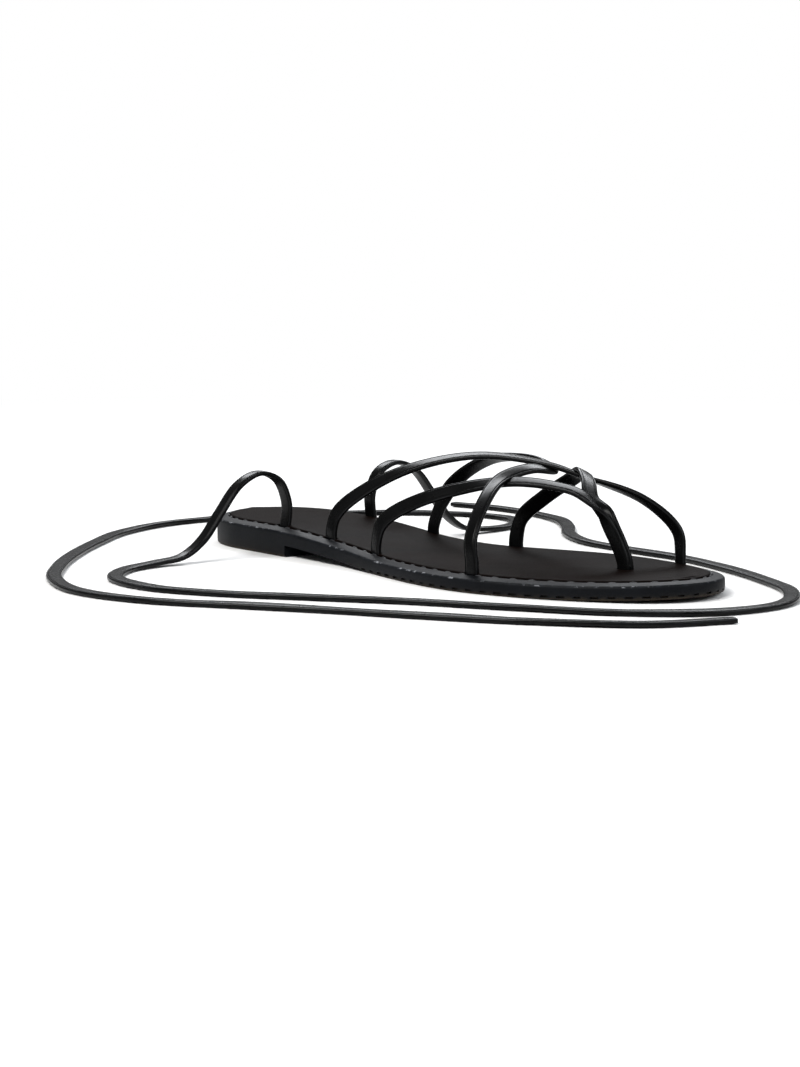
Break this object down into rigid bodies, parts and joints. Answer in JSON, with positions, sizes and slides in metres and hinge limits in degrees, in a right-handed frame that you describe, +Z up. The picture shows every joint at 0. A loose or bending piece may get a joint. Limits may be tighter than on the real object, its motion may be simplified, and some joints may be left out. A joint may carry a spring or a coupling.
{
  "type": "gladiator sandal",
  "caption": "Flat gladiator sandal for the right foot, with narrow crossing straps, a toe post, a thin black sole and long ties that lie loose on the floor.",
  "frame": {"origin": "under the middle of the sole's bounding box, on the floor", "axes": "+X to the toe, +Y to the inner side of the foot, +Z up"},
  "size_m": [0.3417, 0.288, 0.0437],
  "materials": {
    "outsole_rubber": "satin black, fine grain, paler rubbed edge",
    "footbed_lining": "smooth brown-black lining, faint sheen",
    "strap_leather": "smooth black, satin gloss, turned edges",
    "tie_leather": "smooth black, satin gloss, turned edges"
  },
  "bodies": {
    "root": {"outsole": "outsole_rubber", "footbed": "footbed_lining", "upper": "strap_leather", "tie_lateral": "tie_leather", "tie_medial": "tie_leather"}
  },
  "joints": []
}
